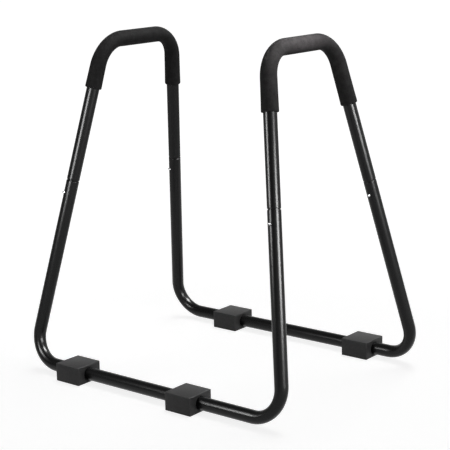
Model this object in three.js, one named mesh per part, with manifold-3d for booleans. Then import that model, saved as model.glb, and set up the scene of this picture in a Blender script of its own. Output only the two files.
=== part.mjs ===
import * as THREE from 'three';
import { mergeVertices, toCreasedNormals } from 'three/addons/utils/BufferGeometryUtils.js';
import Module from 'manifold-3d';

// Dip station: two padded handle tubes plug into two U-shaped base tubes on rubber feet.
// Millimetres, +Z up, X along the base bars, front at -Y, floor at z = 0.

// Corners where the straight tube centrelines would meet
const baseWidth = 790;
const baseDepth = 566;
const handleSpacing = 502;
const handleLength = 252.5;
const handleRise = 801.5;

// Tubes
const tubeDiameter = 32;
const tubeWall = 1.5;
const baseBendRadius = 70;
const handleBendRadius = 75;
const bendFlatShare = 0.1;
const rimChamfer = 0.7;

// Plug joint between a handle tube and a base tube, placed by its distance up the leg
const seamDistance = 473.5;
const seamGap = 0.3;
const plugLength = 70;
const plugClearance = 0.4;
const plugChamfer = 1;
const shoulderLength = 3;
const shoulderRound = 1;

// Snap buttons, facing the front: each turn is in degrees about the leg, outwards
const buttonDrop = 32;
const buttonTurns = { left: 20, right: 0 };
const buttonDiameter = 6.4;
const buttonProud = 5.2;
const buttonDomeHeight = 1.9;
const buttonHoleClearance = 0.4;
const flangeDiameter = 9.2;
const flangeThickness = 1;
const flangeClearance = 0.4;
const rivetDiameter = 3;
const rivetHeadDiameter = 4.6;
const rivetHeadThickness = 0.8;

// Leaf springs behind the buttons
const springWidth = 8;
const springThickness = 0.8;
const springRise = 38;
const springOverhang = 6.5;
const springClearance = 0.3;

// Foam grips: how far each end runs down its leg from the corner of the handle
const gripThickness = 3.4;
const gripClearance = 0.3;
const gripEndRound = 2;
const gripDrops = {
  left: { front: 119, rear: 141 },
  right: { front: 140, rear: 159 },
};

// Rubber feet: each share is how far a foot stands along its half of the bar
const footLength = 76;
const footWidth = 77;
const footHeight = 45;
const footChamfer = 1.2;
const footClearance = 0.3;
const footStopGap = 2;
const frontFootShares = { left: 0.849, right: 0.351 };
const rearFootShares = { left: 0.673, right: 0.827 };

// Facets
const tubeSides = 20;
const bendSteps = 8;
const buttonSides = 12;
const domeSteps = 3;
const springBendSteps = 8;
const holeSides = 16;
const creaseAngle = Math.PI / 5;

// Worked out from the sizes above
const tubeRadius = tubeDiameter / 2;
const tubeBore = tubeRadius - tubeWall;
const plugRadius = tubeBore - plugClearance;
const plugBore = plugRadius - tubeWall;
const gripBore = tubeRadius + gripClearance;
const gripRadius = gripBore + gripThickness;
const buttonRadius = buttonDiameter / 2;
const barHeight = footHeight / 2;
const sideLean = (baseWidth - handleSpacing) / 2;
const endLean = (baseDepth - handleLength) / 2;
const baseLegRise = Math.hypot(endLean, handleRise);
const handleLegRise = Math.hypot(sideLean, handleRise);
const legLength = Math.hypot(sideLean, baseLegRise);
const baseTilt = Math.atan2(endLean, handleRise);
const handleTilt = Math.atan2(sideLean, handleRise);
const legTilt = Math.atan2(sideLean, baseLegRise);

const rows = { front: -1, rear: 1 };
const flanks = { left: -1, right: 1 };
const footShares = { front: frontFootShares, rear: rearFootShares };

const wasm = await Module();
wasm.setup();

const paint = new THREE.MeshStandardMaterial({ color: 0x161618, roughness: 0.32, metalness: 0.1 });
const foam = new THREE.MeshStandardMaterial({ color: 0x262627, roughness: 0.95, metalness: 0 });
const rubber = new THREE.MeshStandardMaterial({ color: 0x39393a, roughness: 0.8, metalness: 0 });
const plated = new THREE.MeshStandardMaterial({ color: 0xd2d2d4, roughness: 0.22, metalness: 1 });
const springSteel = new THREE.MeshStandardMaterial({ color: 0x8b8d90, roughness: 0.38, metalness: 1 });

// Corner points of a U: both tips, and the two corners between them at height zero
function uCorners(span, outward, upward) {
  const corner = new THREE.Vector2(span / 2, 0);
  const tip = new THREE.Vector2(outward, upward).add(corner);
  const mirror = (point) => new THREE.Vector2(-point.x, point.y);
  return [mirror(tip), mirror(corner), corner, tip];
}

function turnBetween(first, second) {
  return Math.atan2(first.cross(second), first.dot(second));
}

// A centreline through the corners, rounded at each bend, as straight and curved stretches
function bentLine(corners, bendRadius) {
  const stretches = [];
  let start = corners[0];
  let length = 0;
  const add = (stretch) => {
    stretches.push({ ...stretch, from: length });
    length += stretch.length;
  };
  for (let i = 1; i < corners.length; i += 1) {
    const along = corners[i].clone().sub(corners[i - 1]).normalize();
    const next = corners[i + 1];
    const leaving = next ? next.clone().sub(corners[i]).normalize() : along;
    const turn = turnBetween(along, leaving);
    const setback = bendRadius * Math.tan(Math.abs(turn) / 2);
    const bendStart = corners[i].clone().addScaledVector(along, -setback);
    const heading = along.angle();
    add({ start, heading, turn: 0, length: start.distanceTo(bendStart) });
    if (next) {
      add({ start: bendStart, heading, turn, length: bendRadius * Math.abs(turn) });
      start = corners[i].clone().addScaledVector(leaving, setback);
    }
  }
  return { stretches, length };
}

// Distances along the line at which a bend gets a ring of points
function bendRuns(line) {
  return line.stretches.filter((stretch) => stretch.turn).flatMap((stretch) => (
    Array.from({ length: bendSteps + 1 }, (_, k) => stretch.from + stretch.length * k / bendSteps)
  ));
}

// Place, heading and in-plane squeeze at a distance along the line
function placeOn(line, run) {
  const stretch = line.stretches.findLast((each) => each.from <= run) ?? line.stretches[0];
  const share = (run - stretch.from) / stretch.length;
  const heading = stretch.heading + stretch.turn * share;
  const point = stretch.start.clone();
  if (!stretch.turn) {
    const along = new THREE.Vector2(Math.cos(heading), Math.sin(heading));
    return { point: point.addScaledVector(along, run - stretch.from), heading, squeeze: 1 };
  }
  const radius = stretch.length / stretch.turn;
  point.x += radius * (Math.sin(heading) - Math.sin(stretch.heading));
  point.y -= radius * (Math.cos(heading) - Math.cos(stretch.heading));
  return { point, heading, squeeze: 1 - bendFlatShare * Math.sin(Math.PI * share) };
}

// Merges doubled corners, so that the surface is one closed skin
function welded(geometry) {
  geometry.deleteAttribute('normal');
  geometry.deleteAttribute('uv');
  return mergeVertices(geometry);
}

// A wall outline from one end of the line to the other: outer skin there, inner skin back.
// Each end is a list of [radius, depth from the end], the same at both ends.
function wallOutline(line, outerEnd, innerEnd, from, to) {
  const runs = bendRuns(line);
  const skin = (end) => [
    ...end.map(([radius, depth]) => new THREE.Vector2(radius, from + depth)),
    ...runs.map((run) => new THREE.Vector2(end.at(-1)[0], run)),
    ...end.toReversed().map(([radius, depth]) => new THREE.Vector2(radius, to - depth)),
  ];
  const outline = [...skin(outerEnd), ...skin(innerEnd).reverse()];
  return [...outline, outline[0].clone()];
}

// Revolves the wall outline about a straight axis, then bends that axis along the line in the XZ plane
function bentTube(line, outerEnd, innerEnd, from = 0, to = line.length) {
  const outline = wallOutline(line, outerEnd, innerEnd, from, to);
  const geometry = welded(new THREE.LatheGeometry(outline, tubeSides));
  const points = geometry.attributes.position;
  for (let i = 0; i < points.count; i += 1) {
    const { point, heading, squeeze } = placeOn(line, points.getY(i));
    const inPlane = points.getX(i) * squeeze;
    points.setX(i, point.x - Math.sin(heading) * inPlane);
    points.setY(i, points.getZ(i));
    points.setZ(i, point.y + Math.cos(heading) * inPlane);
  }
  return geometry;
}

function solidOf(geometry) {
  const skin = welded(geometry);
  return new wasm.Manifold(new wasm.Mesh({
    numProp: 3,
    vertProperties: skin.attributes.position.array,
    triVerts: skin.index.array,
  }));
}

// Cuts each tool out of the body
function cut(body, tools) {
  const rest = tools.reduce((solid, tool) => solid.subtract(solidOf(tool)), solidOf(body)).getMesh();
  const geometry = new THREE.BufferGeometry();
  geometry.setAttribute('position', new THREE.BufferAttribute(rest.vertProperties, 3));
  geometry.setIndex(new THREE.BufferAttribute(rest.triVerts, 1));
  return geometry;
}

// Drill from the middle of a leg out through its front wall, where the button comes out
function buttonDrill() {
  const radius = buttonRadius + buttonHoleClearance;
  const drill = new THREE.CylinderGeometry(radius, radius, tubeDiameter, holeSides);
  return drill.translate(0, -tubeRadius, -buttonDrop);
}

function handleLine() {
  const reach = (legLength - seamDistance + plugLength) / legLength;
  const corners = uCorners(handleLength, endLean * reach, -handleLegRise * reach);
  return bentLine(corners, handleBendRadius);
}

function baseLine() {
  const reach = seamDistance / legLength;
  const corners = uCorners(baseWidth, -sideLean * reach, baseLegRise * reach);
  return bentLine(corners, baseBendRadius);
}

// Local frame: the bar along X at height zero, the legs up
function baseTube(drills) {
  const outerEnd = [[tubeRadius - rimChamfer, 0], [tubeRadius, rimChamfer]];
  const innerEnd = [[tubeBore, 0]];
  return cut(bentTube(baseLine(), outerEnd, innerEnd), drills);
}

// Local frame: the bar along X at height zero, the legs down, each end narrowed to a plug
function handleTube(drills) {
  const shoulder = plugLength + seamGap;
  const outerEnd = [
    [plugRadius - plugChamfer, 0],
    [plugRadius, plugChamfer],
    [plugRadius, shoulder],
    [tubeRadius - shoulderRound, shoulder + shoulderRound],
    [tubeRadius, shoulder + shoulderLength],
  ];
  const innerEnd = [
    [plugBore, 0],
    [plugBore, shoulder],
    [tubeBore, shoulder + shoulderLength],
  ];
  return cut(bentTube(handleLine(), outerEnd, innerEnd), drills);
}

// Foam sleeve on the handle's own line, from its front end to its rear end
function foamGrip({ front, rear }) {
  const line = handleLine();
  const cornerRun = legLength - seamDistance + plugLength;
  const rounding = (angle) => [
    gripRadius - gripEndRound * (1 - Math.sin(angle)),
    gripEndRound * (1 - Math.cos(angle)),
  ];
  const outerEnd = [0, Math.PI / 4, Math.PI / 2].map(rounding);
  const from = cornerRun - front;
  const to = line.length - cornerRun + rear;
  return bentTube(line, outerEnd, [[gripBore, 0]], from, to);
}

function chamferedRectangle(width, height, chamfer) {
  const right = width / 2;
  const top = height / 2;
  return new THREE.Shape([
    new THREE.Vector2(chamfer - right, -top),
    new THREE.Vector2(right - chamfer, -top),
    new THREE.Vector2(right, chamfer - top),
    new THREE.Vector2(right, top - chamfer),
    new THREE.Vector2(right - chamfer, top),
    new THREE.Vector2(chamfer - right, top),
    new THREE.Vector2(-right, top - chamfer),
    new THREE.Vector2(-right, chamfer - top),
  ]);
}

// Rubber block with a bore for the base bar, its flats clear of the tube
function foot() {
  const bore = (tubeRadius + footClearance) / Math.cos(Math.PI / tubeSides);
  const shape = chamferedRectangle(footHeight, footWidth, footChamfer);
  shape.holes.push(new THREE.Path().absarc(0, 0, bore, 0, 2 * Math.PI));
  const depth = footLength - 2 * footChamfer;
  const block = new THREE.ExtrudeGeometry(shape, {
    depth,
    curveSegments: tubeSides / 2,
    bevelThickness: footChamfer,
    bevelSize: footChamfer,
    bevelOffset: -footChamfer,
    bevelSegments: 1,
  });
  return block.translate(0, 0, -depth / 2).rotateY(Math.PI / 2);
}

// Distances from the leg's axis, outwards, at which the pieces of a button lie
function buttonLayers() {
  const boreFlat = plugBore * Math.cos(Math.PI / tubeSides);
  const flangeTop = Math.sqrt(boreFlat ** 2 - (flangeDiameter / 2) ** 2) - flangeClearance;
  const flangeBottom = flangeTop - flangeThickness;
  const leafTop = flangeBottom - springClearance;
  const leafBottom = leafTop - springThickness;
  const headTop = leafBottom - springClearance;
  const headBottom = headTop - rivetHeadThickness;
  return { flangeTop, flangeBottom, leafTop, headTop, headBottom };
}

// Stud with a domed head, a flange inside the tube and a riveted tail through the leaf spring
function snapButton() {
  const { flangeTop, flangeBottom, headTop, headBottom } = buttonLayers();
  const top = tubeRadius + buttonProud;
  const dome = Array.from({ length: domeSteps + 1 }, (_, k) => {
    const angle = Math.PI / 2 * k / domeSteps;
    return [buttonRadius * Math.cos(angle), top - buttonDomeHeight * (1 - Math.sin(angle))];
  });
  dome.at(-1)[0] = 0;
  const profile = [
    [0, headBottom],
    [rivetHeadDiameter / 2, headBottom],
    [rivetHeadDiameter / 2, headTop],
    [rivetDiameter / 2, headTop],
    [rivetDiameter / 2, flangeBottom],
    [flangeDiameter / 2, flangeBottom],
    [flangeDiameter / 2, flangeTop],
    [buttonRadius, flangeTop],
    ...dome,
  ];
  const outline = profile.map(([radius, reach]) => new THREE.Vector2(radius, reach));
  const stud = new THREE.LatheGeometry(outline, buttonSides);
  return stud.rotateX(Math.PI).translate(0, 0, -buttonDrop);
}

// Hairpin leaf: one leaf under the button, the bend up the tube, the other leaf on the far wall
function buttonSpring() {
  const { leafTop } = buttonLayers();
  const boreFlat = plugBore * Math.cos(Math.PI / tubeSides);
  const farSide = Math.sqrt(boreFlat ** 2 - (springWidth / 2) ** 2) - springClearance;
  const middle = (farSide - leafTop) / 2;
  const outer = (farSide + leafTop) / 2;
  const inner = outer - springThickness;
  const bottom = -buttonDrop - springOverhang;
  const bendHeight = springRise - buttonDrop;
  const shape = new THREE.Shape();
  shape.moveTo(middle + outer, bottom);
  shape.lineTo(middle + outer, bendHeight);
  shape.absarc(middle, bendHeight, outer, 0, Math.PI, false);
  shape.lineTo(middle - outer, bottom);
  shape.lineTo(middle - inner, bottom);
  shape.lineTo(middle - inner, bendHeight);
  shape.absarc(middle, bendHeight, inner, Math.PI, 0, true);
  shape.lineTo(middle + inner, bottom);
  const leaf = new THREE.ExtrudeGeometry(shape, {
    depth: springWidth,
    curveSegments: springBendSteps / 2,
    bevelEnabled: false,
  });
  leaf.translate(0, 0, -springWidth / 2).rotateX(Math.PI / 2).rotateZ(Math.PI / 2);
  const radius = rivetDiameter / 2 + springClearance;
  const hole = new THREE.CylinderGeometry(radius, radius, leafTop, holeSides);
  return cut(leaf, [hole.translate(0, -leafTop, -buttonDrop)]);
}

function named(name, geometry, material) {
  const mesh = new THREE.Mesh(toCreasedNormals(geometry, creaseAngle), material);
  mesh.name = name;
  return mesh;
}

// Frame of a base tube: its plane leans towards the middle of the station
function baseFrame(row) {
  const frame = new THREE.Group();
  frame.position.set(0, row * baseDepth / 2, barHeight);
  frame.rotation.x = row * baseTilt;
  return frame;
}

// Frame of a leg, inside its base tube's: origin at the seam, Z up the leg, button towards -Y
function legFrame(side) {
  const flank = flanks[side];
  const reach = seamDistance / legLength;
  const turn = flank * THREE.MathUtils.degToRad(buttonTurns[side]);
  const frame = new THREE.Group();
  frame.position.set(flank * (baseWidth / 2 - sideLean * reach), 0, baseLegRise * reach);
  frame.rotation.set(0, -flank * legTilt, turn, 'YZX');
  return frame;
}

// Frame of a handle tube: its bar runs front to rear, its plane leans inwards
function handleFrame(flank) {
  const frame = new THREE.Group();
  frame.position.set(flank * handleSpacing / 2, 0, barHeight + handleRise);
  frame.rotation.set(0, -flank * handleTilt, Math.PI / 2, 'YZX');
  return frame;
}

// A drill in each leg, in the frame of the tube that it goes through
function drillsIn(tubeFrame, legs) {
  const toTube = tubeFrame.matrixWorld.clone().invert();
  return legs.map((leg) => buttonDrill().applyMatrix4(toTube.clone().multiply(leg.matrixWorld)));
}

// Where a foot stands along its bar, between the middle stop and the stop at the bend
function footPlace(row, flank) {
  const setback = baseBendRadius * Math.tan((Math.PI / 2 + legTilt) / 2);
  const inner = footLength / 2 + footStopGap;
  const outer = baseWidth / 2 - setback - footLength / 2 - footStopGap;
  return flanks[flank] * (inner + footShares[row][flank] * (outer - inner));
}

const station = new THREE.Group();
const bases = {};
const handles = {};
const legs = { front: {}, rear: {} };

for (const row of Object.keys(rows)) {
  bases[row] = baseFrame(rows[row]);
  station.add(bases[row]);
  for (const flank of Object.keys(flanks)) {
    legs[row][flank] = legFrame(flank);
    bases[row].add(legs[row][flank]);
  }
}
for (const flank of Object.keys(flanks)) {
  handles[flank] = handleFrame(flanks[flank]);
  station.add(handles[flank]);
}
station.updateMatrixWorld(true);

for (const row of Object.keys(rows)) {
  const drills = drillsIn(bases[row], Object.values(legs[row]));
  bases[row].add(named(`base_tube_${row}`, baseTube(drills), paint));
  for (const flank of Object.keys(flanks)) {
    const place = `${row}_${flank}`;
    legs[row][flank].add(named(`snap_button_${place}`, snapButton(), plated));
    legs[row][flank].add(named(`button_spring_${place}`, buttonSpring(), springSteel));
    const block = named(`foot_${place}`, foot(), rubber);
    block.position.set(footPlace(row, flank), rows[row] * baseDepth / 2, barHeight);
    station.add(block);
  }
}
for (const flank of Object.keys(flanks)) {
  const drills = drillsIn(handles[flank], [legs.front[flank], legs.rear[flank]]);
  handles[flank].add(named(`handle_tube_${flank}`, handleTube(drills), paint));
  handles[flank].add(named(`foam_grip_${flank}`, foamGrip(gripDrops[flank]), foam));
}

export default station;
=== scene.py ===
# Dip station: two foam-covered handle tubes plugged into two U-shaped base tubes on rubber feet.
# Shapes are worked out in millimetres and turned into metres when a piece is finished.
import bpy
import bmesh
from math import atan2, cos, hypot, pi, radians, sin, sqrt, tan
from mathutils import Matrix, Vector


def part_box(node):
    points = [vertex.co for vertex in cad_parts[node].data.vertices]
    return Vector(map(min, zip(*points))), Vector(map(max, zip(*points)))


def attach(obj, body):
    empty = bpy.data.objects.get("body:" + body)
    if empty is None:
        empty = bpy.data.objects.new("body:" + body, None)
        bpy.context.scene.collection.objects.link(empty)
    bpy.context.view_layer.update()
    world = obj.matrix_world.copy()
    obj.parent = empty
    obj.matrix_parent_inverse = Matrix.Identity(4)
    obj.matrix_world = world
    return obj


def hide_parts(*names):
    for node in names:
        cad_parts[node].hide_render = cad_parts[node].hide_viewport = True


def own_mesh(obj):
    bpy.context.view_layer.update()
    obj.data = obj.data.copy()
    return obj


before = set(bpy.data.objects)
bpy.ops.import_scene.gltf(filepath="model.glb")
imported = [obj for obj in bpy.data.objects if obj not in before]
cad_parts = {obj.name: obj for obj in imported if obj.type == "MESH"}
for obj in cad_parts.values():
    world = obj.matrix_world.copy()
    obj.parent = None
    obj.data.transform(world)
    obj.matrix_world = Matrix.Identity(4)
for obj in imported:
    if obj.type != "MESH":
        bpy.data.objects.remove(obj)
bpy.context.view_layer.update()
print("frame loaded")

millimetre = 0.001
weldReach = 0.01  # in millimetres
creaseAngle = radians(36)
drillSides = 40
rows = {"front": -1, "rear": 1}
flanks = {"left": -1, "right": 1}
corners = [(row, flank) for row in rows for flank in flanks]

# the frame of tubes, between the corners where their straight centrelines would meet
station = {
    "baseWidth": 790,
    "baseDepth": 566,
    "handleSpacing": 502,
    "handleLength": 252.5,
    "handleRise": 801.5,
    "barHeight": 22.5,
    "seamDistance": 473.5,  # from the base corner up the leg
}
sideLean = (station["baseWidth"] - station["handleSpacing"]) / 2
endLean = (station["baseDepth"] - station["handleLength"]) / 2
baseLegRise = hypot(endLean, station["handleRise"])
handleLegRise = hypot(sideLean, station["handleRise"])
legLength = hypot(sideLean, baseLegRise)
legTilt = atan2(sideLean, baseLegRise)
baseTilt = atan2(endLean, station["handleRise"])
handleTilt = atan2(sideLean, station["handleRise"])


def baseFrame(row):  # bar along X, legs up
    stand = Matrix.Translation((0, rows[row] * station["baseDepth"] / 2, station["barHeight"]))
    return stand @ Matrix.Rotation(rows[row] * baseTilt, 4, "X")


def legFrame(row, flank):  # starts at the seam, Z up the leg, button towards -Y
    share = station["seamDistance"] / legLength
    across = flanks[flank] * (station["baseWidth"] / 2 - sideLean * share)
    seam = Matrix.Translation((across, 0, baseLegRise * share))
    lean = Matrix.Rotation(-flanks[flank] * legTilt, 4, "Y")
    turn = Matrix.Rotation(flanks[flank] * radians(button["turns"][flank]), 4, "Z")
    return baseFrame(row) @ seam @ lean @ turn


def handleFrame(flank):  # bar along X from front to rear, legs down
    top = station["barHeight"] + station["handleRise"]
    stand = Matrix.Translation((flanks[flank] * station["handleSpacing"] / 2, 0, top))
    lean = Matrix.Rotation(-flanks[flank] * handleTilt, 4, "Y")
    return stand @ lean @ Matrix.Rotation(pi / 2, 4, "Z")


# helpers for every piece
def bentLine(halfBar, bendRadius, turn, up):  # half of a U, from the middle of its bar
    straight = halfBar - bendRadius * tan(turn / 2)
    return {"straight": straight, "bendRadius": bendRadius, "turn": turn, "up": up,
            "bendEnd": straight + bendRadius * turn}


def bendStops(line, steps):
    bend = line["bendEnd"] - line["straight"]
    return [line["straight"] + bend * k / steps for k in range(steps + 1)]


def placeAt(line, run):  # X along the tube, Z in the plane of the bend
    if run <= line["straight"]:
        return Matrix.Translation((run, 0, 0))
    arm = line["up"] * line["bendRadius"]
    angle = min((run - line["straight"]) / line["bendRadius"], line["turn"])
    pivot = Matrix.Translation((line["straight"], 0, arm))
    swing = Matrix.Rotation(-line["up"] * angle, 4, "Y")
    past = max(run - line["bendEnd"], 0)
    return pivot @ swing @ Matrix.Translation((past, 0, -arm))


def ringAt(line, run, radius, flatShare):  # a bend narrows the tube a little in its own plane
    share = min(max((run - line["straight"]) / (line["bendEnd"] - line["straight"]), 0), 1)
    narrow = 1 - flatShare * sin(pi * share)
    return placeAt(line, run) @ Matrix.Diagonal((1, radius, radius * narrow, 1))


def pullRing(bm, edges, move):  # extrudes an open loop and moves its new end
    made = bmesh.ops.extrude_edge_only(bm, edges=edges)["geom"]
    ends = [v for v in made if isinstance(v, bmesh.types.BMVert)]
    bmesh.ops.transform(bm, matrix=move, verts=ends)
    atEnd = set(ends)
    return [e for e in made if isinstance(e, bmesh.types.BMEdge) and atEnd.issuperset(e.verts)]


def pullThrough(bm, edges, rings):
    for old, new in zip(rings, rings[1:]):
        edges = pullRing(bm, edges, new @ old.inverted())
    return edges


def startLoop(bm, sides, place, spin=0):  # a loop of radius 1 across X
    across = Matrix.Rotation(pi / 2, 4, "Y") @ Matrix.Rotation(spin, 4, "Z")
    made = bmesh.ops.create_circle(bm, radius=1, segments=sides, matrix=place @ across)["verts"]
    return list(dict.fromkeys(e for v in made for e in v.link_edges))  # in the same order each run


def sleeveAlong(line, outerEnds, innerEnds, sleeve):  # each half goes out to its tip and back inside
    middle = [0, *bendStops(line, sleeve["bendSteps"])]
    bm = bmesh.new()
    for turn, outer, inner in zip((pi, 0), outerEnds, innerEnds):
        out, bore = ([(run, ends[0][1]) for run in middle] + ends for ends in (outer, inner))
        half = Matrix.Rotation(turn, 4, "Z")
        rings = [half @ ringAt(line, run, radius, sleeve["bendFlatShare"])
                 for run, radius in out + bore[::-1]]
        pullThrough(bm, startLoop(bm, sleeve["sides"], rings[0]), rings)
    bmesh.ops.remove_doubles(bm, verts=bm.verts, dist=weldReach)
    bmesh.ops.recalc_face_normals(bm, faces=bm.faces)
    return bm


def roundOver(start, radius, depth, drop, steps):  # run grows by depth, radius falls by drop
    angles = [pi / 2 * k / steps for k in range(steps + 1)]
    support = (start - depth, radius)  # keeps the shading of the long faces before it straight
    return [support] + [(start + depth * sin(a), radius - drop * (1 - cos(a))) for a in angles]


def creaseMesh(bm, mesh):
    for face in bm.faces:
        face.smooth = True
    for edge in bm.edges:
        edge.smooth = len(edge.link_faces) == 2 and edge.calc_face_angle(pi) < creaseAngle
    bm.to_mesh(mesh)
    bm.free()


def finishPiece(bm, name, place, finish, body, node):
    bmesh.ops.transform(bm, matrix=Matrix.Scale(millimetre, 4) @ place, verts=bm.verts)
    mesh = bpy.data.meshes.new(name)
    creaseMesh(bm, mesh)
    piece = bpy.data.objects.new(name, mesh)
    bpy.context.collection.objects.link(piece)
    mesh.materials.append(finish)
    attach(piece, body)
    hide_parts(node)
    return piece


def drillPiece(piece, drills, radius, depth):  # each drill runs along Z from its place
    bm = bmesh.new()
    for drill in drills:
        middle = Matrix.Scale(millimetre, 4) @ drill @ Matrix.Translation((0, 0, depth / 2))
        bmesh.ops.create_cone(bm, cap_ends=True, segments=drillSides, radius1=radius,
                              radius2=radius, depth=depth, matrix=middle)
    tool = bpy.data.objects.new("drill", bpy.data.meshes.new("drill"))
    bm.to_mesh(tool.data)
    bm.free()
    bpy.context.collection.objects.link(tool)
    hole = piece.modifiers.new("holes", "BOOLEAN")
    hole.object = tool
    hole.solver = "EXACT"
    bpy.context.view_layer.update()
    drilled = piece.evaluated_get(bpy.context.evaluated_depsgraph_get())
    bm = bmesh.new()
    bm.from_mesh(drilled.data)
    piece.modifiers.remove(hole)
    creaseMesh(bm, piece.data)
    bpy.data.objects.remove(tool)


# finishes, with their depths in metres
noiseSpan = (0.3, 0.7)  # most of a noise's values lie between these
white = (1, 1, 1, 1)


def newFinish(name):
    finish = bpy.data.materials.new(name)
    finish.use_nodes = True
    tree = finish.node_tree
    coords = tree.nodes.new("ShaderNodeTexCoord").outputs["Object"]
    return finish, tree, tree.nodes["Principled BSDF"], coords


def noiseOf(tree, coords, scale, detail=2, rough=0.5):
    node = tree.nodes.new("ShaderNodeTexNoise")
    node.inputs["Scale"].default_value = scale
    node.inputs["Detail"].default_value = detail
    node.inputs["Roughness"].default_value = rough
    tree.links.new(coords, node.inputs["Vector"])
    return node.outputs["Fac"]


def spreadOf(tree, value, low, high, span=noiseSpan):  # from low to high while value crosses span
    node = tree.nodes.new("ShaderNodeMapRange")
    for socket, number in zip(("From Min", "From Max", "To Min", "To Max"), (*span, low, high)):
        node.inputs[socket].default_value = number
    tree.links.new(value, node.inputs["Value"])
    return node.outputs["Result"]


def tintOf(tree, value, dark, light, span=noiseSpan):
    node = tree.nodes.new("ShaderNodeValToRGB")
    ends = node.color_ramp.elements
    ends[0].position, ends[1].position = span
    ends[0].color, ends[1].color = (*dark, 1), (*light, 1)
    tree.links.new(value, node.inputs["Fac"])
    return node.outputs["Color"]


def bumpOf(tree, height, depth, under=None):
    node = tree.nodes.new("ShaderNodeBump")
    node.inputs["Distance"].default_value = depth
    tree.links.new(height, node.inputs["Height"])
    if under:
        tree.links.new(under, node.inputs["Normal"])
    return node.outputs["Normal"]


def paintShader(tree, shader, look, tone, wear, bump, span=noiseSpan):  # wear sets the roughness
    tree.links.new(tintOf(tree, tone, look["dark"], look["light"], span), shader.inputs["Base Color"])
    tree.links.new(spreadOf(tree, wear, *look["roughness"]), shader.inputs["Roughness"])
    tree.links.new(bump, shader.inputs["Normal"])
    shader.inputs["Specular IOR Level"].default_value = look["gloss"]


def powderCoat(name, look):  # black stoved powder: a faint orange peel and fine specks
    finish, tree, shader, coords = newFinish(name)
    drift = noiseOf(tree, coords, **look["drift"])
    peel = noiseOf(tree, coords, **look["peel"])
    speck = noiseOf(tree, coords, **look["speck"])
    peeled = bumpOf(tree, peel, look["peelDepth"])
    specked = bumpOf(tree, speck, look["speckDepth"], peeled)
    paintShader(tree, shader, look, drift, speck, specked)
    return finish


handleCoat = {
    "dark": (0.0035, 0.0035, 0.0038),
    "light": (0.0052, 0.0052, 0.0056),
    "roughness": (0.255, 0.275),
    "gloss": 0.2,
    "drift": {"scale": 14, "detail": 3},
    "peel": {"scale": 260, "detail": 1},
    "peelDepth": 0.000004,
    "speck": {"scale": 1600},
    "speckDepth": 0.0000007,
}
baseCoat = {**handleCoat, "roughness": (0.265, 0.285)}


def foamSkin(look):  # closed-cell foam: fine open pores and a cloudy tone
    finish, tree, shader, coords = newFinish("closed_cell_foam")
    cloud = noiseOf(tree, coords, **look["cloud"])
    grain = noiseOf(tree, coords, **look["grain"])
    pores = tree.nodes.new("ShaderNodeTexVoronoi")
    pores.inputs["Scale"].default_value = look["poreScale"]
    tree.links.new(coords, pores.inputs["Vector"])
    mottle = tree.nodes.new("ShaderNodeMix")
    mottle.inputs["Factor"].default_value = look["grainShare"]
    tree.links.new(cloud, mottle.inputs["A"])
    tree.links.new(grain, mottle.inputs["B"])
    pored = bumpOf(tree, pores.outputs["Distance"], look["poreDepth"])
    grained = bumpOf(tree, grain, look["grainDepth"], pored)
    paintShader(tree, shader, look, mottle.outputs["Result"], grain, grained, look["mottleSpan"])
    return finish


gripFoam = {
    "dark": (0.031, 0.0304, 0.0307),
    "light": (0.064, 0.0621, 0.0629),
    "roughness": (0.7, 0.85),
    "gloss": 0.055,
    "cloud": {"scale": 70, "detail": 4, "rough": 0.6},
    "grain": {"scale": 420, "detail": 3, "rough": 0.65},
    "grainShare": 0.45,
    "grainDepth": 0.00012,
    "mottleSpan": (0.35, 0.65),
    "poreScale": 950,
    "poreDepth": 0.00018,
}


def footRubber(look):  # moulded rubber: even tone with a fine spark-eroded grain
    finish, tree, shader, coords = newFinish("moulded_rubber")
    cloud = noiseOf(tree, coords, **look["cloud"])
    grain = noiseOf(tree, coords, **look["grain"])
    paintShader(tree, shader, look, cloud, grain, bumpOf(tree, grain, look["grainDepth"]))
    return finish


blockRubber = {
    "dark": (0.056, 0.0555, 0.056),
    "light": (0.07, 0.0695, 0.07),
    "roughness": (0.46, 0.54),
    "gloss": 0.2,
    "cloud": {"scale": 260, "detail": 3},
    "grain": {"scale": 900, "detail": 3, "rough": 0.6},
    "grainDepth": 0.00009,
}


def brightMetal(name, look):  # plated or rolled metal, faintly marked and stained
    finish, tree, shader, coords = newFinish(name)
    stretch = tree.nodes.new("ShaderNodeMapping")
    stretch.inputs["Scale"].default_value = look["markScales"]
    tree.links.new(coords, stretch.inputs["Vector"])
    marks = noiseOf(tree, stretch.outputs["Vector"], scale=1)
    stain = noiseOf(tree, coords, look["stainScale"])
    paintShader(tree, shader, look, stain, marks, bumpOf(tree, marks, look["markDepth"]))
    shader.inputs["Metallic"].default_value = 1
    return finish


buttonPlate = {
    "dark": (0.38, 0.38, 0.39),
    "light": (0.52, 0.52, 0.53),
    "roughness": (0.2, 0.28),
    "gloss": 0.5,
    "markScales": (900, 900, 900),
    "markDepth": 0.000003,
    "stainScale": 120,
}
leafSteel = {
    "dark": (0.22, 0.22, 0.23),
    "light": (0.33, 0.33, 0.34),
    "roughness": (0.28, 0.42),
    "gloss": 0.5,
    "markScales": (2600, 2600, 90),  # drawn out upwards, nearly along the leaves
    "markDepth": 0.000008,
    "stainScale": 60,
}

handlePaint = powderCoat("handle_powder_coat", handleCoat)
basePaint = powderCoat("base_powder_coat", baseCoat)
foam = foamSkin(gripFoam)
rubber = footRubber(blockRubber)
plating = brightMetal("bright_plating", buttonPlate)
temperedSteel = brightMetal("tempered_spring_steel", leafSteel)
print("finishes made")

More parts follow.
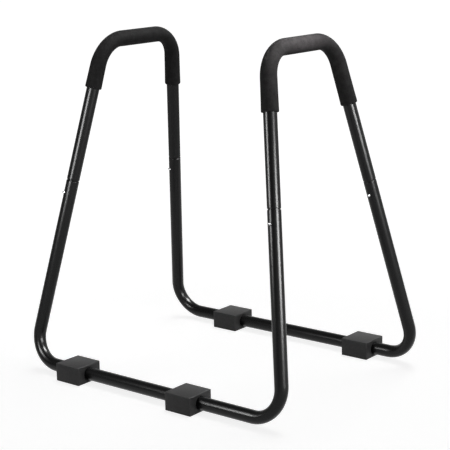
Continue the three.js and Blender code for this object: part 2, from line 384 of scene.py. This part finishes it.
# tubes
tube = {
    "diameter": 32,
    "wall": 1.5,
    "sides": 64,
    "bendSteps": 24,
    "bendFlatShare": 0.1,
    "baseBendRadius": 70,
    "handleBendRadius": 75,
}
joint = {
    "gap": 1.8,
    "rimRound": 1.4,
    "plugLength": 70,
    "plugClearance": 0.4,
    "plugChamfer": 1,
    "shoulderLength": 2.2,
    "shoulderRound": 1.6,  # how far the shoulder has drawn in where it meets the plug
    "roundSteps": 5,
}
button = {
    "drop": 32,  # below the seam
    "turns": {"left": 20, "right": 0},  # degrees about the leg, outwards
    "diameter": 6.4,
    "proud": 5.2,
    "domeHeight": 1.9,
    "domeSteps": 10,
    "sides": 40,
    "holeClearance": 0.4,
    "flangeDiameter": 9.2,
    "flangeThickness": 1,
    "flangeClearance": 0.4,
    "rivetDiameter": 3,
    "rivetHeadDiameter": 4.6,
    "rivetHeadThickness": 0.8,
}
tubeRadius = tube["diameter"] / 2
tubeBore = tubeRadius - tube["wall"]
plugRadius = tubeBore - joint["plugClearance"]
plugBore = plugRadius - tube["wall"]

baseTurn = pi / 2 + legTilt
baseLine = bentLine(station["baseWidth"] / 2, tube["baseBendRadius"], baseTurn, 1)
baseSetback = tube["baseBendRadius"] * tan(baseTurn / 2)
baseSeam = baseLine["bendEnd"] + station["seamDistance"] - baseSetback
handleTurn = atan2(handleLegRise, endLean)
handleLine = bentLine(station["handleLength"] / 2, tube["handleBendRadius"], handleTurn, -1)
handleSetback = tube["handleBendRadius"] * tan(handleTurn / 2)
handleSeam = handleLine["bendEnd"] + legLength - station["seamDistance"] - handleSetback


def buttonDrill(row, flank):  # from the middle of the leg out through its front wall
    drop = Matrix.Translation((0, 0, -button["drop"]))
    return legFrame(row, flank) @ drop @ Matrix.Rotation(pi / 2, 4, "X")


def drillForButtons(piece, places):
    radius = button["diameter"] / 2 + button["holeClearance"]
    drillPiece(piece, [buttonDrill(*place) for place in places], radius, tube["diameter"])


def aroundHole(seam, toHole):  # rings on both sides of a button hole keep the long faces clean
    reach = button["diameter"]
    return [seam + toHole - reach, seam + toHole + reach]


def baseTube(row):
    before, after = aroundHole(baseSeam, -button["drop"])
    rim = roundOver(baseSeam - joint["rimRound"], tubeRadius, joint["rimRound"], joint["rimRound"],
                    joint["roundSteps"])
    outer = [(before, tubeRadius), (after, tubeRadius), *rim]
    inner = [(before, tubeBore), (after, tubeBore), (baseSeam, tubeBore)]
    bm = sleeveAlong(baseLine, [outer] * 2, [inner] * 2, tube)
    piece = finishPiece(bm, f"{row}_base_tube", baseFrame(row), basePaint, "frame",
                        f"base_tube_{row}")
    drillForButtons(piece, [(row, flank) for flank in flanks])


def handleTube(flank):
    tip = handleSeam + joint["plugLength"]
    neck = handleSeam - joint["gap"]
    before, after = aroundHole(handleSeam, button["drop"])
    shoulder = roundOver(neck - joint["shoulderLength"], tubeRadius, joint["shoulderLength"],
                         joint["shoulderRound"], joint["roundSteps"])
    tipRound = roundOver(tip - joint["plugChamfer"], plugRadius, joint["plugChamfer"],
                         joint["plugChamfer"], joint["roundSteps"])
    outer = [*shoulder, (neck, plugRadius), (before, plugRadius), (after, plugRadius), *tipRound]
    inner = [(neck - joint["shoulderLength"], tubeBore), (neck, plugBore), (before, plugBore),
             (after, plugBore), (tip, plugBore)]
    bm = sleeveAlong(handleLine, [outer] * 2, [inner] * 2, tube)
    piece = finishPiece(bm, f"{flank}_handle_tube", handleFrame(flank), handlePaint, "frame",
                        f"handle_tube_{flank}")
    drillForButtons(piece, [(row, flank) for row in rows])


for row in rows:
    baseTube(row)
for flank in flanks:
    handleTube(flank)
print("tubes bent")

# snap buttons and the hairpin springs behind them
spring = {
    "width": 8,
    "thickness": 0.8,
    "rise": 38,
    "overhang": 6.5,
    "clearance": 0.3,
    "bendSteps": 16,
    "travel": 6.9,  # how far its button is pressed in
    "boreSides": 20,  # facets of the plug's bore in the frame
}
boreFlat = plugBore * cos(pi / spring["boreSides"])
flangeTop = sqrt(boreFlat ** 2 - (button["flangeDiameter"] / 2) ** 2) - button["flangeClearance"]
flangeBottom = flangeTop - button["flangeThickness"]
leafTop = flangeBottom - spring["clearance"]
headTop = leafTop - spring["thickness"] - spring["clearance"]
farLeaf = sqrt(boreFlat ** 2 - (spring["width"] / 2) ** 2) - spring["clearance"]


def snapButton(row, flank):
    radius = button["diameter"] / 2
    rivet = button["rivetDiameter"] / 2
    head = button["rivetHeadDiameter"] / 2
    flange = button["flangeDiameter"] / 2
    top = tubeRadius + button["proud"]
    headBottom = headTop - button["rivetHeadThickness"]
    angles = [pi / 2 * k / button["domeSteps"] for k in range(button["domeSteps"])]
    dome = [(radius * cos(a), top - button["domeHeight"] * (1 - sin(a))) for a in angles]
    outline = [(0, headBottom), (head, headBottom), (head, headTop), (rivet, headTop),
               (rivet, flangeBottom), (flange, flangeBottom), (flange, flangeTop),
               (radius, flangeTop), *dome, (0, top)]
    bm = bmesh.new()
    points = [bm.verts.new((across, 0, reach)) for across, reach in outline]
    edges = [bm.edges.new(pair) for pair in zip(points, points[1:])]
    bmesh.ops.spin(bm, geom=points + edges, cent=(0, 0, 0), axis=(0, 0, 1), angle=2 * pi,
                   steps=button["sides"], use_merge=True)
    bmesh.ops.remove_doubles(bm, verts=bm.verts, dist=weldReach)
    bmesh.ops.recalc_face_normals(bm, faces=bm.faces)
    finishPiece(bm, f"{row}_{flank}_button", buttonDrill(row, flank), plating,
                f"button_{row}_{flank}", f"snap_button_{row}_{flank}")


def hairpinSpring(row, flank):
    half = spring["thickness"] / 2
    bendRadius = (farLeaf + leafTop) / 2 - half
    bottom = -button["drop"] - spring["overhang"]
    straight = spring["rise"] - button["drop"] - bottom
    line = {"straight": straight, "bendRadius": bendRadius, "turn": pi, "up": 1,
            "bendEnd": straight + bendRadius * pi}
    square = Matrix.Scale(sqrt(0.5), 4)  # brings a loop of four to a side of 1
    strip = Matrix.Diagonal((1, spring["width"], spring["thickness"], 1)) @ square
    stops = [0, *bendStops(line, spring["bendSteps"]), line["bendEnd"] + straight]
    rings = [placeAt(line, run) @ strip for run in stops]
    bm = bmesh.new()
    pullThrough(bm, startLoop(bm, 4, rings[0], pi / 4), rings)
    bmesh.ops.holes_fill(bm, edges=bm.edges, sides=4)  # the strip's two ends
    bmesh.ops.recalc_face_normals(bm, faces=bm.faces)
    # the strip's X runs up the leg, its Z away from the button
    upLeg = Matrix(((0, 1, 0, 0), (0, 0, 1, half - leafTop), (1, 0, 0, bottom), (0, 0, 0, 1)))
    leg = legFrame(row, flank)
    piece = finishPiece(bm, f"{row}_{flank}_spring", leg @ upLeg, temperedSteel, "frame",
                        f"button_spring_{row}_{flank}")
    rivetHole = button["rivetDiameter"] / 2 + spring["clearance"]
    drillPiece(piece, [buttonDrill(row, flank)], rivetHole, leafTop)
    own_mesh(piece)


for row, flank in corners:
    snapButton(row, flank)
    hairpinSpring(row, flank)
print("snap buttons and springs made")

# foam grips
grip = {
    "thickness": 3.4,
    "clearance": 0.3,
    "endRound": 2,
    "endSwell": 0.8,  # the foam is stretched thin round the bends and thicker at its ends
    "swellLength": 25,
    "roundSteps": 6,
    "drops": {"left": (119, 141), "right": (140, 159)},  # front and rear ends, down from the corner
    "sides": 72,
    "bendSteps": 28,
    "bendFlatShare": 0.1,
}


def foamGrip(flank):
    bore = tubeRadius + grip["clearance"]
    radius = bore + grip["thickness"]
    outerEnds = []
    innerEnds = []
    for drop in grip["drops"][flank]:
        tip = handleLine["bendEnd"] + drop - handleSetback
        swell = tip - grip["endRound"] - grip["swellLength"]
        rim = roundOver(tip - grip["endRound"], radius + grip["endSwell"], grip["endRound"],
                        grip["endRound"], grip["roundSteps"])
        outerEnds.append([(handleLine["bendEnd"], radius), (swell, radius + grip["endSwell"] / 2), *rim])
        innerEnds.append([(tip - grip["endRound"], bore), (tip, bore)])
    bm = sleeveAlong(handleLine, outerEnds, innerEnds, grip)
    piece = finishPiece(bm, f"{flank}_foam_grip", handleFrame(flank), foam, "frame",
                        f"foam_grip_{flank}")


for flank in flanks:
    foamGrip(flank)
print("foam grips slid on")

# rubber feet
foot = {
    "length": 76,
    "width": 77,
    "height": 45,
    "edgeRound": 1.2,
    "roundSteps": 4,
    "clearance": 0.3,
    "mouthRound": 1,
    "sides": 64,
    "endFacing": 0.999,  # least share of X in the normal of an end face
}


def rubberFoot(row, flank):
    node = f"foot_{row}_{flank}"
    low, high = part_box(node)
    middle = (low + high) / 2 / millimetre
    bore = tubeRadius + foot["clearance"]
    bm = bmesh.new()
    block = Matrix.Diagonal((foot["length"], foot["width"], foot["height"], 1))
    bmesh.ops.create_cube(bm, size=1, matrix=block)
    bmesh.ops.bevel(bm, geom=bm.edges[:], offset=foot["edgeRound"], affect="EDGES",
                    segments=foot["roundSteps"], profile=0.5, material=-1)
    ends = [f for f in bm.faces if abs(f.normal.x) > foot["endFacing"]]
    frames = {side: [e for f in ends for e in f.edges if f.normal.x * side > 0] for side in (-1, 1)}
    bmesh.ops.delete(bm, geom=ends, context="FACES_ONLY")
    mouth = roundOver(foot["length"] / 2 - foot["mouthRound"], bore, foot["mouthRound"],
                      -foot["mouthRound"], foot["roundSteps"])
    stops = [(-run, radius) for run, radius in reversed(mouth)] + mouth
    rings = [Matrix.Translation((run, 0, 0)) @ Matrix.Diagonal((1, radius, radius, 1))
             for run, radius in stops]
    first = startLoop(bm, foot["sides"], rings[0])
    last = pullThrough(bm, first, rings)
    for side, circle in ((-1, first), (1, last)):
        bmesh.ops.triangle_fill(bm, use_beauty=True, edges=frames[side] + circle,
                                normal=(side, 0, 0))
    bmesh.ops.recalc_face_normals(bm, faces=bm.faces)
    finishPiece(bm, f"{row}_{flank}_foot", Matrix.Translation(middle), rubber,
                f"foot_block_{row}_{flank}", node)


for row, flank in corners:
    rubberFoot(row, flank)
print("rubber feet slid on")

# floor, sky, lamps and camera, in metres
studio = {
    "floorSize": 60,
    "floorDrop": 0.0004,
    "floorColour": (0.45, 0.45, 0.45, 1),
    "floorGlow": (0.84, 1),  # near and far, seen directly on top of the lamps' light
    "glowReach": (0.7, 2.6),
    "reflectionStripWidth": (0.7, 1.4),  # half the width of a strip whose glow reflections keep; beside it reflections show less glow, but only behind the object, as a share of the distance: a painted dark reflection, seen in gloss rays only
    "reflectionStripFront": (-0.1, 0.35),  # but only behind the object, as a share of the distance
    # share of the floor's glow left in the painted dark reflection beside the strip
    "paintedDarkReflection": 0.3,
    "skyLight": 0.1,  # what lights the surfaces
    "skyTop": 0.25,  # brightness seen overhead, where it is 1 lower down
    "skySlope": (-0.35, -0.35, 1),  # white reaches higher behind the object and on its right
    "skyFade": (0.29, 0.5),
}
lamps = {
    "front strip": {
        "at": (-0.35, -1.14, 0.8), "aim": (-0.15, 0, 0.8), "size": (0.36, 0.66),
        "radiance": 34, "lights": "gloss",
    },
    "side strip": {
        "at": (2.4, -0.24, 0.83), "aim": (0, -0.24, 0.83), "size": (1, 0.66),
        "radiance": 47, "lights": "gloss",
    },
    "rear strip": {
        "at": (2.39, 0.1, 0.64), "aim": (0, 0.1, 0.64), "size": (0.32, 0.3),
        "radiance": 42, "lights": "gloss",
    },
    "top box": {
        "at": (0, 1.6, 6), "aim": (0, 0, 0), "size": (2.4, 2.4),
        "radiance": 5.3, "lights": "matt",
    },
    "top strip": {
        "at": (1.7, 1.3, 3.4), "aim": (0, 0, 0.45), "size": (2, 1.2),
        "radiance": 72, "lights": "gloss",
    },
    "right fill": {
        "at": (0.66, -0.03, 1.18), "aim": (0.25, -0.02, 0.82), "size": (0.16, 0.12),
        "radiance": 3, "lights": "matt", "spread": 30, "colour": (1, 0.93, 0.95),
    },
}
camera = {
    "at": (2.0678, -2.5238, 1.1212),
    "azimuth": 39.13,
    "elevation": 13.004,
    "roll": -1.423,
    "lens": 108.15,
}


def calculate(tree, operation, *values):
    node = tree.nodes.new("ShaderNodeMath")
    node.operation = operation
    for socket, value in zip(node.inputs, values):
        tree.links.new(value, socket)
    return node.outputs["Value"]


def dotWith(tree, vector, axis):
    node = tree.nodes.new("ShaderNodeVectorMath")
    node.operation = "DOT_PRODUCT"
    node.inputs[1].default_value = axis
    tree.links.new(vector, node.inputs[0])
    return node.outputs["Value"]


def seenDirectly(tree):  # 1 for rays from the camera, off gloss and through glass
    path = tree.nodes.new("ShaderNodeLightPath").outputs
    straightOrGloss = calculate(tree, "MAXIMUM", path["Is Camera Ray"], path["Is Glossy Ray"])
    return calculate(tree, "MAXIMUM", straightOrGloss, path["Is Transmission Ray"])


def chooseBy(tree, seen, direct, other):
    choice = tree.nodes.new("ShaderNodeMix")
    choice.inputs["A"].default_value = other
    tree.links.new(seen, choice.inputs["Factor"])
    tree.links.new(direct, choice.inputs["B"])
    return choice.outputs["Result"]


bm = bmesh.new()
bmesh.ops.create_grid(bm, x_segments=1, y_segments=1, size=studio["floorSize"] / 2,
                      matrix=Matrix.Translation((0, 0, -studio["floorDrop"])))
floor = bpy.data.objects.new("floor", bpy.data.meshes.new("floor"))
bm.to_mesh(floor.data)
bm.free()
bpy.context.collection.objects.link(floor)
floorPaint, tree, shader, coords = newFinish("pale_floor")
shader.inputs["Base Color"].default_value = studio["floorColour"]
shader.inputs["Roughness"].default_value = 1
shader.inputs["Specular IOR Level"].default_value = 0
shader.inputs["Emission Color"].default_value = white
away = (-sin(radians(camera["azimuth"])), cos(radians(camera["azimuth"])), 0)  # from the camera
aside = (away[1], -away[0], 0)
distance = tree.nodes.new("ShaderNodeVectorMath")
distance.operation = "LENGTH"
tree.links.new(coords, distance.inputs[0])
reach = distance.outputs["Value"]
# painted dark reflection: beside the strip and behind the object, gloss rays see the floor's glow cut down
acrossReflectionStrip = calculate(tree, "ABSOLUTE", dotWith(tree, coords, aside))
behind = calculate(tree, "DIVIDE", dotWith(tree, coords, away), reach)
darkReflectionMask = calculate(tree, "MULTIPLY", spreadOf(tree, acrossReflectionStrip, 0, 1, studio["reflectionStripWidth"]),
                   spreadOf(tree, behind, 0, 1, studio["reflectionStripFront"]))
glossRay = tree.nodes.new("ShaderNodeLightPath").outputs["Is Glossy Ray"]
darkReflectionInGloss = calculate(tree, "MULTIPLY", darkReflectionMask, glossRay)
glow = spreadOf(tree, reach, *studio["floorGlow"], studio["glowReach"])
glowWithDarkReflection = calculate(tree, "MULTIPLY", glow, spreadOf(tree, darkReflectionInGloss, 1, studio["paintedDarkReflection"], (0, 1)))
tree.links.new(calculate(tree, "MULTIPLY", glowWithDarkReflection, seenDirectly(tree)), shader.inputs["Emission Strength"])
floor.data.materials.append(floorPaint)

world = bpy.data.worlds.new("white studio")
bpy.context.scene.world = world
world.use_nodes = True
sky = world.node_tree
background = sky.nodes["Background"].inputs
background["Color"].default_value = white
direction = sky.nodes.new("ShaderNodeTexCoord").outputs["Generated"]
height = dotWith(sky, direction, studio["skySlope"])
fade = spreadOf(sky, height, 1, studio["skyTop"], studio["skyFade"])
strength = chooseBy(sky, seenDirectly(sky), fade, studio["skyLight"])
sky.links.new(strength, background["Strength"])

for name, lamp in lamps.items():
    light = bpy.data.lights.new(name, "AREA")
    light.shape = "RECTANGLE"
    light.size, light.size_y = lamp["size"]
    light.energy = lamp["radiance"] * pi * light.size * light.size_y  # watts for this radiance
    light.spread = radians(lamp.get("spread", 180))
    light.color = lamp.get("colour", white[:3])
    holder = bpy.data.objects.new(name, light)
    aim = Vector(lamp["aim"]) - Vector(lamp["at"])
    holder.location = lamp["at"]
    holder.rotation_euler = aim.to_track_quat("-Z", "Y").to_euler()
    holder.visible_camera = False
    holder.visible_diffuse = lamp["lights"] != "gloss"
    holder.visible_glossy = lamp["lights"] != "matt"
    bpy.context.collection.objects.link(holder)

turn = Matrix.Rotation(radians(camera["azimuth"]), 4, "Z")
tilt = Matrix.Rotation(pi / 2 - radians(camera["elevation"]), 4, "X")
roll = Matrix.Rotation(radians(camera["roll"]), 4, "Z")
viewer = bpy.data.objects.new("camera", bpy.data.cameras.new("camera"))
viewer.matrix_world = Matrix.Translation(camera["at"]) @ turn @ tilt @ roll
viewer.data.lens = camera["lens"]
bpy.context.collection.objects.link(viewer)
bpy.context.scene.camera = viewer
bpy.context.scene.view_settings.view_transform = "Standard"
print("studio set up")
